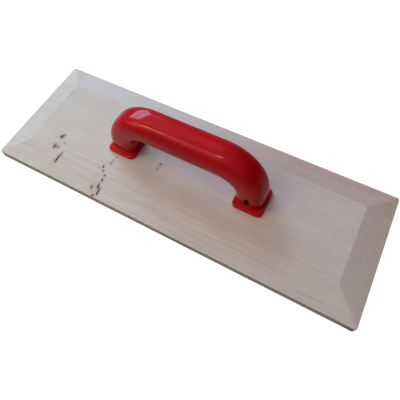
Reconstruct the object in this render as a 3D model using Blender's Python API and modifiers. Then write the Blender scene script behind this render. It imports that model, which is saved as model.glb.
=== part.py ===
"""Plasterer's hand float: a bevelled timber board and a moulded plastic handle, held by two slanted screws.

The origin is the middle of the board's working face. +X runs along the board, +Y across, +Z up to the grip.
"""

import math

import bmesh
import bpy
from mathutils import Matrix, Vector

MM = 0.001
FIT_GAP = 0.3 * MM  # clearance left between pieces that touch

# Board
BOARD_LENGTH = 400 * MM
BOARD_WIDTH = 140 * MM
BOARD_THICKNESS = 16 * MM
EDGE_THICKNESS = 9.5 * MM
BEVEL_WIDTH = 27 * MM
BOARD_CORNER_RADIUS = 2 * MM
BOARD_CORNER_STEPS = 4
ARRIS_RADIUS = 0.6 * MM
ARRIS_STEPS = 2

# Handle: heights are above its own base
FOOT_X = 72.6 * MM  # middle of each foot
LEG_LEAN = math.radians(6)
BEND_RADIUS = 33.4 * MM
GRIP_HEIGHT = 49.6 * MM  # middle of the grip
GRIP_HALF = (15.0 * MM, 15.1 * MM)  # half thickness in the bow's plane, half width across it
LEG_TOP_HALF = (14.8 * MM, 14.8 * MM)
LEG_FOOT_HALF = (13.4 * MM, 12.3 * MM)
LEG_TAPER_HEIGHT = 15 * MM
FLANGE_HALF = (16.0 * MM, 17.0 * MM)
FLANGE_THICKNESS = 3.8 * MM
FLANGE_ROUNDING = 1.2 * MM
FOOT_FILLET = 1.2 * MM
GRIP_SQUARENESS = 2.9  # superellipse exponent: 2 is an ellipse, more is squarer
LEG_FOOT_SQUARENESS = 3.5
FLANGE_SQUARENESS = 7.0
SECTION_POINTS = 40
ROUNDING_STEPS = 3
LEG_STEPS = 5
BEND_STEPS = 12

# Hollows in the feet, open below, as the mould's cores leave them
CORE_MOUTH = (15 * MM, 9 * MM)
CORE_DEPTH = 24 * MM
CORE_DRAFT = 0.86  # size at the top of a core over its size at the mouth
CORE_CENTRE = (72.0 * MM, 4.0 * MM)
CORE_ROUNDING = 2 * MM

# Screws: countersunk, driven through the front of one foot and the back of the other
SCREW_LENGTH = 20 * MM
SCREW_HEAD_RADIUS = 2.6 * MM
SCREW_HEAD_RIM = 0.3 * MM
SCREW_HEAD_HEIGHT = 1.7 * MM
SCREW_SHANK_RADIUS = 1.5 * MM
SCREW_TIP_LENGTH = 3.0 * MM
SCREW_RECESS_DEPTH = 1.1 * MM
SCREW_RECESS_SPAN = 2.9 * MM
SCREW_RECESS_WIDTH = 0.7 * MM
SCREW_TILT = math.radians(30)
SCREW_MOUTH = (71.6 * MM, -13.3 * MM, 14.5 * MM)  # where the axis leaves the leg's front
HEAD_DEPTH = 11.5 * MM  # from the mouth down to the top of the head
POCKET_RADIUS = 2.9 * MM
POCKET_REACH = 30 * MM  # the pocket's cutter runs this far out from the head, clear of the leg
PILOT_END_RADIUS = 0.2 * MM
TURNED_STEPS = 24


def clear_scene():
    for thing in list(bpy.data.objects):
        bpy.data.objects.remove(thing, do_unlink=True)
    for group in list(bpy.data.collections):
        bpy.data.collections.remove(group)


def new_collection(name):
    group = bpy.data.collections.new(name)
    bpy.context.scene.collection.children.link(group)
    return group


def new_material(name, color, roughness, metallic):
    material = bpy.data.materials.new(name)
    material.use_nodes = True
    shader = material.node_tree.nodes["Principled BSDF"]
    shader.inputs["Base Color"].default_value = (*color, 1.0)
    shader.inputs["Roughness"].default_value = roughness
    shader.inputs["Metallic"].default_value = metallic
    return material


def add_object(name, mesh, group, material=None):
    thing = bpy.data.objects.new(name, mesh)
    group.objects.link(thing)
    if material:
        mesh.materials.append(material)
    return thing


def mesh_from(bm, name):
    mesh = bpy.data.meshes.new(name)
    bm.to_mesh(mesh)
    bm.free()
    return mesh


def cut(target, cutter, operation="DIFFERENCE"):
    cutter.hide_render = True
    cutter.display_type = "WIRE"
    modifier = target.modifiers.new(cutter.name, "BOOLEAN")
    modifier.operation = operation
    modifier.solver = "EXACT"
    modifier.object = cutter


def turned_object(name, profile, group, material=None):
    """A solid of revolution about Z. The profile is (radius, height) pairs from the top of the axis down."""
    bm = bmesh.new()
    points = [bm.verts.new((radius, 0.0, height)) for radius, height in profile]
    for upper, lower in zip(points, points[1:]):
        bm.edges.new((upper, lower))
    thing = add_object(name, mesh_from(bm, name), group, material)
    turn = thing.modifiers.new("Turn", "SCREW")
    turn.steps = TURNED_STEPS
    turn.render_steps = TURNED_STEPS
    turn.use_merge_vertices = True
    turn.merge_threshold = 0.00001
    return thing


# ---------------------------------------------------------------- board


def build_corner_tool(group):
    """A tall block with rounded upright edges: what of the board lies inside it is kept."""
    bm = bmesh.new()
    bmesh.ops.create_cube(bm, size=1.0)
    bmesh.ops.scale(bm, vec=(BOARD_LENGTH, BOARD_WIDTH, 4 * BOARD_THICKNESS), verts=bm.verts)
    uprights = [edge for edge in bm.edges if edge.verts[0].co.xy == edge.verts[1].co.xy]
    bmesh.ops.bevel(
        bm,
        geom=uprights,
        offset=BOARD_CORNER_RADIUS,
        segments=BOARD_CORNER_STEPS,
        profile=0.5,
        affect="EDGES",
    )
    return add_object("board_corners", mesh_from(bm, "board_corners"), group)


def build_board(group, cutters, material):
    bm = bmesh.new()
    bmesh.ops.create_cube(bm, size=1.0)
    bmesh.ops.scale(bm, vec=(BOARD_LENGTH, BOARD_WIDTH, EDGE_THICKNESS), verts=bm.verts)
    bmesh.ops.translate(bm, vec=(0.0, 0.0, EDGE_THICKNESS / 2), verts=bm.verts)
    bm.normal_update()
    top = [face for face in bm.faces if face.normal.z > 0.9]
    rise = BOARD_THICKNESS - EDGE_THICKNESS
    bmesh.ops.inset_region(bm, faces=top, thickness=BEVEL_WIDTH, depth=rise, use_even_offset=True)
    board = add_object("board", mesh_from(bm, "board"), group, material)
    cut(board, build_corner_tool(cutters), "INTERSECT")
    arris = board.modifiers.new("Arris", "BEVEL")
    arris.width = ARRIS_RADIUS
    arris.segments = ARRIS_STEPS
    arris.limit_method = "ANGLE"
    arris.angle_limit = math.radians(40)
    return board


# ---------------------------------------------------------------- handle


def smooth_step(t):
    t = min(max(t, 0.0), 1.0)
    return t * t * (3.0 - 2.0 * t)


def mix(start, end, t):
    return tuple(a + (b - a) * t for a, b in zip(start, end))


def section(centre, turn, half, squareness):
    """A ring of points around a centre in the XZ plane. Turn tilts the section up from the horizontal."""
    across = Vector((math.cos(turn), 0.0, math.sin(turn)))
    ring = []
    for k in range(SECTION_POINTS):
        angle = 2 * math.pi * (k + 0.5) / SECTION_POINTS
        c, s = math.cos(angle), math.sin(angle)
        u = half[0] * math.copysign(abs(c) ** (2 / squareness), c)
        v = half[1] * math.copysign(abs(s) ** (2 / squareness), s)
        ring.append(centre + across * u + Vector((0.0, v, 0.0)))
    return ring


def leg_half(height):
    return mix(LEG_FOOT_HALF, LEG_TOP_HALF, smooth_step((height - FLANGE_THICKNESS) / LEG_TAPER_HEIGHT))


def leg_x(height):
    """The middle of the leaning leg at a height."""
    return FOOT_X - (height - FLANGE_THICKNESS) * math.tan(LEG_LEAN)


def foot_rings():
    """The flange from its base to its rounded rim, then the fillet up into the leg."""
    rings = []
    rim = FLANGE_THICKNESS - FLANGE_ROUNDING
    quarter = math.pi / 2
    rings.append(section(Vector((FOOT_X, 0.0, 0.0)), 0.0, FLANGE_HALF, FLANGE_SQUARENESS))
    for step in range(ROUNDING_STEPS + 1):
        angle = quarter * step / ROUNDING_STEPS
        height = rim + FLANGE_ROUNDING * math.sin(angle)
        inset = FLANGE_ROUNDING * (1 - math.cos(angle))
        half = (FLANGE_HALF[0] - inset, FLANGE_HALF[1] - inset)
        rings.append(section(Vector((FOOT_X, 0.0, height)), 0.0, half, FLANGE_SQUARENESS))
    for step in range(ROUNDING_STEPS + 1):
        angle = quarter * step / ROUNDING_STEPS
        height = FLANGE_THICKNESS + FOOT_FILLET * (1 - math.cos(angle))
        out = FOOT_FILLET * (1 - math.sin(angle))
        leg = leg_half(height)
        half = (leg[0] + out, leg[1] + out)
        rings.append(section(Vector((leg_x(height), 0.0, height)), 0.0, half, LEG_FOOT_SQUARENESS))
    return rings


def leg_and_grip_rings():
    bend_z = GRIP_HEIGHT - BEND_RADIUS
    leg_top_z = bend_z + BEND_RADIUS * math.sin(LEG_LEAN)
    bend_x = leg_x(leg_top_z) - BEND_RADIUS * math.cos(LEG_LEAN)
    leg_start_z = FLANGE_THICKNESS + FOOT_FILLET
    rings = []
    for step in range(1, LEG_STEPS):
        t = step / LEG_STEPS
        z = leg_start_z + (leg_top_z - leg_start_z) * t
        square = LEG_FOOT_SQUARENESS + (GRIP_SQUARENESS - LEG_FOOT_SQUARENESS) * smooth_step(t)
        rings.append(section(Vector((leg_x(z), 0.0, z)), LEG_LEAN * smooth_step(t), leg_half(z), square))
    for step in range(BEND_STEPS + 1):
        t = step / BEND_STEPS
        turn = LEG_LEAN + (math.pi / 2 - LEG_LEAN) * t
        centre = Vector((bend_x + BEND_RADIUS * math.cos(turn), 0.0, bend_z + BEND_RADIUS * math.sin(turn)))
        half = mix(LEG_TOP_HALF, GRIP_HALF, smooth_step(t))
        rings.append(section(centre, turn, half, GRIP_SQUARENESS))
    rings.append(section(Vector((0.0, 0.0, GRIP_HEIGHT)), math.pi / 2, GRIP_HALF, GRIP_SQUARENESS))
    return rings


def loft(bm, rings):
    rows = [[bm.verts.new(point) for point in ring] for ring in rings]
    for lower, upper in zip(rows, rows[1:]):
        for k in range(len(lower)):
            after = (k + 1) % len(lower)
            bm.faces.new((lower[k], lower[after], upper[after], upper[k]))
    return rows


def build_handle(group, material):
    bm = bmesh.new()
    rows = loft(bm, foot_rings() + leg_and_grip_rings())
    bm.faces.new(list(reversed(rows[0])))
    handle = add_object("handle", mesh_from(bm, "handle"), group, material)
    handle.location.z = BOARD_THICKNESS + FIT_GAP
    mirror = handle.modifiers.new("Other half", "MIRROR")
    mirror.use_axis = (True, False, False)
    mirror.merge_threshold = 0.00005
    return handle


def build_core_cutter(name, group, half_turn):
    """A drafted block with rounded corners that rises into a foot from below."""
    bm = bmesh.new()
    bmesh.ops.create_cube(bm, size=1.0)
    depth = CORE_DEPTH + MM
    bmesh.ops.scale(bm, vec=(CORE_MOUTH[0], CORE_MOUTH[1], depth), verts=bm.verts)
    crown = [vert for vert in bm.verts if vert.co.z > 0]
    bmesh.ops.scale(bm, vec=(CORE_DRAFT, CORE_DRAFT, 1.0), verts=crown)
    edges = [edge for edge in bm.edges if max(vert.co.z for vert in edge.verts) > 0]
    bmesh.ops.bevel(bm, geom=edges, offset=CORE_ROUNDING, segments=2, profile=0.5, affect="EDGES")
    bmesh.ops.translate(bm, vec=(CORE_CENTRE[0], CORE_CENTRE[1], depth / 2 - MM), verts=bm.verts)
    cutter = add_object(name, mesh_from(bm, name), group)
    cutter.location.z = BOARD_THICKNESS + FIT_GAP
    cutter.rotation_euler.z = half_turn
    return cutter


# ---------------------------------------------------------------- screws


def screw_seat(half_turn):
    """Placement of a screw: origin in the middle of its head's top, +Z out along its axis."""
    down = Vector((0.0, math.sin(SCREW_TILT), -math.cos(SCREW_TILT)))
    base = Vector((0.0, 0.0, BOARD_THICKNESS + FIT_GAP))
    place = Matrix.Translation(base + Vector(SCREW_MOUTH) + down * HEAD_DEPTH)
    return Matrix.Rotation(half_turn, 4, "Z") @ place @ Matrix.Rotation(SCREW_TILT, 4, "X")


def cross_ring(height, size):
    """The outline of a plus sign at a height."""
    span = size * SCREW_RECESS_SPAN / 2
    width = size * SCREW_RECESS_WIDTH / 2
    ring = []
    for quarter in range(4):
        turn = Matrix.Rotation(quarter * math.pi / 2, 3, "Z")
        for corner in ((span, -width), (span, width), (width, width)):
            ring.append(turn @ Vector((*corner, height)))
    return ring


def build_recess_cutter(name, group):
    """The tapered tip of a cross-head driver."""
    bm = bmesh.new()
    rows = loft(bm, [cross_ring(-SCREW_RECESS_DEPTH, 0.5), cross_ring(SCREW_RECESS_DEPTH, 1.5)])
    bm.faces.new(list(reversed(rows[0])))
    bm.faces.new(rows[-1])
    return add_object(name, mesh_from(bm, name), group)


def build_screw(name, group, cutters, material, half_turn):
    profile = [
        (0.0, 0.0),
        (SCREW_HEAD_RADIUS, 0.0),
        (SCREW_HEAD_RADIUS, -SCREW_HEAD_RIM),
        (SCREW_SHANK_RADIUS, -SCREW_HEAD_HEIGHT),
        (SCREW_SHANK_RADIUS, -SCREW_LENGTH + SCREW_TIP_LENGTH),
        (0.0, -SCREW_LENGTH),
    ]
    screw = turned_object(name, profile, group, material)
    screw.matrix_world = screw_seat(half_turn)
    recess = build_recess_cutter(name + "_recess", cutters)
    recess.matrix_world = screw.matrix_world.copy()
    cut(screw, recess)
    return screw


def build_screw_cutters(name, group, half_turn):
    """The stepped hole in the foot, and the pilot hole in the board, both a fit gap wider than the screw."""
    shank = SCREW_SHANK_RADIUS + FIT_GAP
    seat_top = -SCREW_HEAD_RIM - FIT_GAP
    seat_foot = -SCREW_HEAD_HEIGHT - FIT_GAP
    beyond = -SCREW_LENGTH
    foot_hole = turned_object(
        name + "_foot_hole",
        [
            (0.0, POCKET_REACH),
            (POCKET_RADIUS, POCKET_REACH),
            (POCKET_RADIUS, seat_top),
            (shank, seat_foot),
            (shank, beyond),
            (0.0, beyond),
        ],
        group,
    )
    pilot_end = -SCREW_LENGTH - FIT_GAP
    pilot = turned_object(
        name + "_pilot",
        [
            (0.0, 0.0),
            (shank, 0.0),
            (shank, pilot_end + SCREW_TIP_LENGTH),
            (PILOT_END_RADIUS, pilot_end - FIT_GAP),
            (0.0, pilot_end - FIT_GAP),
        ],
        group,
    )
    for cutter in (foot_hole, pilot):
        cutter.matrix_world = screw_seat(half_turn)
    return foot_hole, pilot


# ---------------------------------------------------------------- finish


def shade_smooth(things):
    for thing in things:
        thing.data.shade_smooth()
        thing.data.set_sharp_from_angle(angle=math.radians(35))


def main():
    clear_scene()
    parts = new_collection("hand_float")
    cutters = new_collection("hand_float_cutters")
    timber = new_material("timber", (0.56, 0.47, 0.37), 0.6, 0.0)
    plastic = new_material("red_plastic", (0.42, 0.01, 0.015), 0.25, 0.0)
    steel = new_material("browned_steel", (0.12, 0.06, 0.045), 0.45, 1.0)

    board = build_board(parts, cutters, timber)
    handle = build_handle(parts, plastic)
    screws = []
    for side, half_turn in (("right", 0.0), ("left", math.pi)):
        name = "screw_" + side
        screws.append(build_screw(name, parts, cutters, steel, half_turn))
        foot_hole, pilot = build_screw_cutters(name, cutters, half_turn)
        cut(handle, foot_hole)
        cut(handle, build_core_cutter("core_" + side, cutters, half_turn))
        cut(board, pilot)
    shade_smooth([board, handle] + screws)


main()
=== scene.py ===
"""Looks of the hand float: finer shapes for its four pieces, their materials, the light and the camera.

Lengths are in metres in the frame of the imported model: +X along the board, +Y to the back, +Z up.
"""

import math

import bmesh
import bpy
from mathutils import Euler, Matrix, Vector, noise


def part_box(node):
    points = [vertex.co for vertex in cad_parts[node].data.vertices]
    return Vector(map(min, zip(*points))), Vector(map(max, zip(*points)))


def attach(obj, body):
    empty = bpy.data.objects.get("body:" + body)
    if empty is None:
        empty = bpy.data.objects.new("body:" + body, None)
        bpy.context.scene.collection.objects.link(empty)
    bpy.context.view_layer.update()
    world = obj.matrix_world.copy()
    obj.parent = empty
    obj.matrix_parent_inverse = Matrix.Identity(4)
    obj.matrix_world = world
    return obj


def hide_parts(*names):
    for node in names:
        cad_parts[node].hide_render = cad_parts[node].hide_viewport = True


MM = 0.001
TINY = 1e-6
ROUNDING_SHARE = 1e-4

# Board
EDGE_THICKNESS = 9.5 * MM
BEVEL_LEFT = 25.5 * MM
BEVEL_RIGHT = 26.4 * MM
BEVEL_BACK = 26.5 * MM
BEVEL_FRONT = (25.2 * MM, 29.2 * MM)  # at the left end and at the right end
CORNER_RADIUS = 2 * MM
CORNER_STEPS = 5
ARRIS_RADIUS = 0.8 * MM
ARRIS_STEPS = 4
SIDE_ROWS = 6
UNDERSIDE_INSET = 0.6  # from the outline to the flat underside's loop, in arris radii
EASE = 0.012  # how softly the bevels meet each other and the flat, as a share of their width
BOARD_SHARP = 40  # edges sharper than this, in degrees, stay crisp
# Unevenness from planing and wear: how far, how many waves per metre, which slice of the noise
WANDER = 0.35 * MM
WANDER_WAVES = 18
WANDER_SLICE = 3.7
RIPPLE = 0.03 * MM
RIPPLE_WAVES = (45, 60)
RIPPLE_SLICE = 1.3
WEAR = 0.12 * MM
WEAR_WAVES = 60
WEAR_SLICE = 9.1
GRID_COARSE = 4.0 * MM
# Finer spans of the board's grid, as (from, to, step): bevels, their inner edges, and torn knots
FINE_X = [
    (-0.200, -0.1765, 1.3 * MM),
    (-0.1765, -0.1725, 0.5 * MM),
    (-0.149, -0.128, 0.6 * MM),
    (-0.084, -0.069, 0.55 * MM),
    (-0.0305, -0.0265, 0.5 * MM),
    (0.1715, 0.1755, 0.5 * MM),
    (0.1755, 0.200, 1.3 * MM),
]
FINE_Y = [
    (-0.070, -0.018, 0.7 * MM),
    (-0.018, -0.004, 1.2 * MM),
    (-0.004, 0.042, 2.5 * MM),
    (0.042, 0.045, 0.5 * MM),
    (0.045, 0.070, 1.3 * MM),
]

# Handle: heights are above its own base
FOOT_X = 72.6 * MM
LEG_LEAN = math.radians(6)
BEND_RADIUS = 33.4 * MM
GRIP_HEIGHT = 49.6 * MM
GRIP_HALF = (15.0 * MM, 15.1 * MM)
LEG_TOP_HALF = (14.8 * MM, 14.8 * MM)
LEG_FOOT_HALF = (13.4 * MM, 12.3 * MM)
LEG_TAPER_HEIGHT = 15 * MM
FLANGE_HALF = (16.0 * MM, 17.0 * MM)
FLANGE_THICKNESS = 3.8 * MM
FLANGE_ROUNDING = 1.2 * MM
FOOT_FILLET = 1.2 * MM
GRIP_SQUARENESS = 2.9
LEG_FOOT_SQUARENESS = 3.5
FLANGE_SQUARENESS = 7.0
SECTION_POINTS = 96
ROUNDING_STEPS = 6
LEG_STEPS = 12
BEND_STEPS = 30
GRIP_STEPS = 12
CORE_MOUTH = (15 * MM, 9 * MM)
CORE_DEPTH = 24 * MM
CORE_DRAFT = 0.86
CORE_CENTRE = (72.0 * MM, 4.0 * MM)
CORE_ROUNDING = 2 * MM
HANDLE_SHARP = 35
MIRROR_REACH = 0.01 * MM
WELD_REACH = 0.001 * MM

# Screws
SCREW_LENGTH = 20 * MM
SCREW_HEAD_RIM = 0.3 * MM
SCREW_HEAD_HEIGHT = 1.7 * MM
# The head from its top down to its neck, as (radius, height)
SCREW_HEAD = [
    (2.45 * MM, 0.0),
    (2.6 * MM, -0.1 * MM),
    (2.6 * MM, -SCREW_HEAD_RIM),
    (1.9 * MM, -1.05 * MM),
    (1.4 * MM, -1.5 * MM),
]
SCREW_NECK_RADIUS = 1.25 * MM
SCREW_CREST_RADIUS = 1.5 * MM
SCREW_ROOT_RADIUS = 1.05 * MM
SCREW_SHARP = 40
SCREW_PLAIN_LENGTH = 5 * MM
SCREW_TIP_LENGTH = 3 * MM
THREAD_PITCH = 1.35 * MM
THREAD_ROWS_PER_TURN = 8
THREAD_LAST_ROW = 0.15 * MM  # how close to the tip the rows of the thread go
CREST_SHARE = 0.3  # half a crest's width, as a share of the pitch
CREST_AT_TIP = 0.25  # what is left of the crest at the tip
RECESS_DEPTH = 1.3 * MM
RECESS_SCALES = (0.4, 1.6)  # the driver's size below and above the head's top
RECESS_SPAN = 2.9 * MM
RECESS_WIDTH = 0.75 * MM
SCREW_TILT = math.radians(30)
SCREW_MOUTH = (71.6 * MM, -13.3 * MM, 14.5 * MM)
HEAD_DEPTH = 11.5 * MM
POCKET_RADIUS = 2.9 * MM
POCKET_REACH = 30 * MM
FIT_GAP = 0.3 * MM
PILOT_END_RADIUS = 0.2 * MM
TURNED_POINTS = 48

# Marks in the timber's face, in millimetres: x, y, half length, half width, then the turn from the
# X axis in degrees and the strength
KNOTS = [
    (-144.4, -25.8, 2.8, 2.5, 75, 1.00),
    (-143.0, -22.8, 2.1, 1.7, 60, 0.69),
    (-136.4, -31.5, 1.6, 1.0, 145, 0.52),
    (-28.4, -6.8, 1.8, 1.4, 90, 0.85),
    (-28.9, -12.8, 1.7, 1.3, 90, 0.55),
    (-74.2, -20.3, 1.5, 1.3, 90, 0.69),
    (-75.5, -25.7, 1.7, 1.0, 115, 0.63),
    (-75.6, -29.8, 1.9, 1.2, 155, 0.63),
    (-80.7, -36.9, 2.4, 1.2, 130, 0.98),
    (-77.8, -41.3, 2.2, 1.0, 125, 0.75),
    (-73.8, -45.0, 1.3, 1.3, 100, 0.86),
    (-73.4, -50.3, 2.2, 1.4, 105, 0.86),
    (-73.9, -57.7, 3.5, 1.3, 102, 1.00),
    (-71.1, -59.4, 2.0, 1.2, 100, 0.86),
    (-80.3, -61.0, 2.6, 1.6, 108, 0.75),
    (-74.2, -68.4, 1.7, 1.5, 90, 0.90),
]
RED_KNOTS = [
    (-143.7, -39.0, 3.2, 2.5, 96, 1.00),
    (-143.1, -42.2, 1.8, 1.4, 110, 0.69),
    (-139.4, -38.6, 3.0, 2.0, 90, 0.57),
]
CRACKS = [
    (-131.0, -42.9, 2.0, 1.2, 85, 0.55),
    (-131.5, -46.0, 2.0, 1.4, 80, 0.75),
    (-132.1, -48.9, 1.8, 1.3, 80, 0.98),
    (-132.4, -51.4, 2.1, 1.6, 85, 1.00),
    (-132.5, -54.0, 1.9, 1.6, 95, 0.80),
    (-70.8, -62.3, 1.8, 1.3, 90, 1.00),
    (-71.0, -64.7, 2.0, 1.3, 84, 1.00),
]
# Stains, and one painted shadow at the front of the left foot
STAINS_AND_FOOT_SHADOW = [
    (156.0, -62.6, 16.0, 1.6, 2, 0.22),
    (-172.0, 30.5, 6.5, 3.0, 80, 0.15),
    (-142.6, -32.8, 3.2, 1.5, 90, 0.14),
    (-134.5, -56.5, 5.5, 4.5, 90, 0.14),
    (-76.0, -61.0, 8.0, 7.0, 90, 0.16),
    # Painted shadow of the handle's left foot, not a stain
    (-66.0, -18.0, 9.0, 5.0, 0, 0.10),
    (-29.0, -9.5, 7.0, 4.5, 80, 0.14),
    (152.5, -40.0, 2.2, 1.5, 88, 0.16),
    (126.3, -38.6, 1.9, 1.3, 90, 0.16),
    (126.0, -51.6, 1.5, 1.1, 70, 0.18),
    (188.0, -47.0, 2.0, 1.6, 70, 0.16),
    (191.0, -36.0, 1.6, 1.2, 40, 0.14),
]
PIT_DEPTH = 0.35 * MM

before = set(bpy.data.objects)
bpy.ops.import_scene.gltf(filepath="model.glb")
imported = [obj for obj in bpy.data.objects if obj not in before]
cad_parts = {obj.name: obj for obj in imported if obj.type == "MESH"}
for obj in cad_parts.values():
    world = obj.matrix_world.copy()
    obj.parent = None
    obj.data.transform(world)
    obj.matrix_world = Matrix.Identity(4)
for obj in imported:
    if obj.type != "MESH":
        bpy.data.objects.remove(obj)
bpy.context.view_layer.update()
BOARD_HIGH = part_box("board")[1]
HANDLE_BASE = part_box("handle")[0].z
HALF_LENGTH = BOARD_HIGH.x
HALF_WIDTH = BOARD_HIGH.y
RISE = BOARD_HIGH.z - EDGE_THICKNESS


# ---------------------------------------------------------------- mesh helpers


def add_object(name, mesh):
    thing = bpy.data.objects.new(name, mesh)
    bpy.context.scene.collection.objects.link(thing)
    return thing


def mesh_from(bm, name):
    mesh = bpy.data.meshes.new(name)
    bm.to_mesh(mesh)
    bm.free()
    return mesh


def loft(bm, rings):
    rows = [[bm.verts.new(point) for point in ring] for ring in rings]
    for lower, upper in zip(rows, rows[1:]):
        for k in range(len(lower)):
            after = (k + 1) % len(lower)
            bm.faces.new((lower[k], lower[after], upper[after], upper[k]))
    return rows


def cut_away(target, cutters):
    """Cuts the cutters out of the target for good, and removes them."""
    for cutter in cutters:
        modifier = target.modifiers.new(cutter.name, "BOOLEAN")
        modifier.operation = "DIFFERENCE"
        modifier.solver = "EXACT"
        modifier.object = cutter
    bpy.context.view_layer.update()
    shaped = target.evaluated_get(bpy.context.evaluated_depsgraph_get())
    old = target.data
    target.data = bpy.data.meshes.new_from_object(shaped)
    target.modifiers.clear()
    bpy.data.meshes.remove(old)
    for cutter in cutters:
        bpy.data.objects.remove(cutter, do_unlink=True)


def smooth_shade(thing, degrees):
    thing.data.shade_smooth()
    thing.data.set_sharp_from_angle(angle=math.radians(degrees))


def smooth_step(t):
    t = min(max(t, 0.0), 1.0)
    return t * t * (3.0 - 2.0 * t)


def mix(start, end, t):
    return tuple(a + (b - a) * t for a, b in zip(start, end))


# ---------------------------------------------------------------- board


def soft_min(a, b, softness):
    h = max(softness - abs(a - b), 0.0) / softness
    return min(a, b) - h * h * softness / 4


def mark_offset(x, y, mark):
    """How far a point lies from a mark's middle, 1 at its outline."""
    centre_x, centre_y, half_length, half_width, turn, _ = mark
    angle = math.radians(turn)
    dx = x / MM - centre_x
    dy = y / MM - centre_y
    along = (dx * math.cos(angle) + dy * math.sin(angle)) / half_length
    aside = (dy * math.cos(angle) - dx * math.sin(angle)) / half_width
    return math.hypot(along, aside)


def top_height(x, y):
    """The planed face: a flat middle, four bevels falling to the edges, and pits in the torn knots."""
    wander = WANDER * noise.noise(Vector((x * WANDER_WAVES, y * WANDER_WAVES, WANDER_SLICE)))
    along = (x + HALF_LENGTH) / (2 * HALF_LENGTH)
    front_width = BEVEL_FRONT[0] + (BEVEL_FRONT[1] - BEVEL_FRONT[0]) * along
    level = 1.0
    for distance, width in (
        (HALF_LENGTH + x, BEVEL_LEFT),
        (HALF_LENGTH - x, BEVEL_RIGHT),
        (HALF_WIDTH - y, BEVEL_BACK),
        (HALF_WIDTH + y, front_width),
    ):
        level = soft_min(level, (distance + wander) / width, EASE)
    height = EDGE_THICKNESS + RISE * min(max(level, 0.0), 1.0)
    ripple_place = Vector((x * RIPPLE_WAVES[0], y * RIPPLE_WAVES[1], RIPPLE_SLICE))
    height += RIPPLE * noise.noise(ripple_place)
    for mark in KNOTS + RED_KNOTS + CRACKS:
        offset = mark_offset(x, y, mark)
        strength = mark[-1]
        if offset < 1.0:
            height -= PIT_DEPTH * strength * smooth_step(1.0 - offset)
    return min(height, BOARD_HIGH.z)


def grid_lines(half, fine_spans):
    """Grid positions from -half to half, closer together inside the fine spans and at the corners."""
    lines = [-half]
    while lines[-1] < half - TINY:
        here = lines[-1]
        step = GRID_COARSE
        if half - abs(here) < CORNER_RADIUS + TINY:
            step = CORNER_RADIUS / CORNER_STEPS
        for low, high, fine in fine_spans:
            if low <= here < high:
                step = min(step, fine)
            elif here < low < here + step:
                step = low - here
        after = here + step
        if here < half - CORNER_RADIUS - TINY < after:
            after = half - CORNER_RADIUS
        lines.append(min(after, half))
    return lines


def round_corner(x, y):
    """Moves a point of the square grid so that the outline gets its rounded corners."""
    inner_x = HALF_LENGTH - ARRIS_RADIUS - CORNER_RADIUS
    inner_y = HALF_WIDTH - ARRIS_RADIUS - CORNER_RADIUS
    a = (abs(x) - inner_x) / CORNER_RADIUS
    b = (abs(y) - inner_y) / CORNER_RADIUS
    if a <= 0.0 or b <= 0.0:
        return x, y
    round_x = inner_x + CORNER_RADIUS * a * math.sqrt(1 - b * b / 2)
    round_y = inner_y + CORNER_RADIUS * b * math.sqrt(1 - a * a / 2)
    return math.copysign(round_x, x), math.copysign(round_y, y)


def outward(x, y):
    """The direction straight out of the board's outline, level. Rounding errors in it are dropped."""
    inner_x = HALF_LENGTH - ARRIS_RADIUS - CORNER_RADIUS
    inner_y = HALF_WIDTH - ARRIS_RADIUS - CORNER_RADIUS
    a = max(abs(x) - inner_x, 0.0)
    b = max(abs(y) - inner_y, 0.0)
    if a < b * ROUNDING_SHARE:
        a = 0.0
    if b < a * ROUNDING_SHARE:
        b = 0.0
    if a > 0.0 and abs(y) < inner_y:
        b = 0.0
    if b > 0.0 and abs(x) < inner_x:
        a = 0.0
    return Vector((math.copysign(a, x), math.copysign(b, y), 0.0)).normalized()


def build_board():
    inset_x = HALF_LENGTH - ARRIS_RADIUS
    inset_y = HALF_WIDTH - ARRIS_RADIUS
    xs = grid_lines(inset_x, FINE_X)
    ys = grid_lines(inset_y, FINE_Y)
    bm = bmesh.new()
    top = [[None] * len(ys) for _ in xs]
    for i, x in enumerate(xs):
        for j, y in enumerate(ys):
            px, py = round_corner(x, y)
            top[i][j] = bm.verts.new((px, py, top_height(px, py)))
    for i in range(len(xs) - 1):
        for j in range(len(ys) - 1):
            bm.faces.new((top[i][j], top[i + 1][j], top[i + 1][j + 1], top[i][j + 1]))
    last_x = len(xs) - 1
    last_y = len(ys) - 1
    walk = [(i, 0) for i in range(last_x)]
    walk += [(last_x, j) for j in range(last_y)]
    walk += [(i, last_y) for i in range(last_x, 0, -1)]
    walk += [(0, j) for j in range(last_y, 0, -1)]
    loops = [[top[i][j] for i, j in walk]]
    for step in range(1, ARRIS_STEPS + 1):
        angle = math.pi / 2 * step / ARRIS_STEPS
        loops.append(side_loop(bm, loops[0], math.sin(angle), 1 - math.cos(angle), None))
    for row in range(1, SIDE_ROWS):
        loops.append(side_loop(bm, loops[0], 1.0, 1.0, 1 - row / SIDE_ROWS))
    for step in range(ARRIS_STEPS + 1):
        angle = math.pi / 2 * step / ARRIS_STEPS
        loops.append(side_loop(bm, loops[0], math.cos(angle), 1 - math.sin(angle), 0.0))
    loops.append(side_loop(bm, loops[0], -UNDERSIDE_INSET, 0.0, 0.0))
    for upper, lower in zip(loops, loops[1:]):
        for k in range(len(upper)):
            after = (k + 1) % len(upper)
            bm.faces.new((upper[k], lower[k], lower[after], upper[after]))
    bm.faces.new(list(reversed(loops[-1])))
    board = add_object("board_timber", mesh_from(bm, "board_timber"))
    cut_away(board, [pilot_cutter(0.0), pilot_cutter(math.pi)])
    smooth_shade(board, BOARD_SHARP)
    return board


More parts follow.
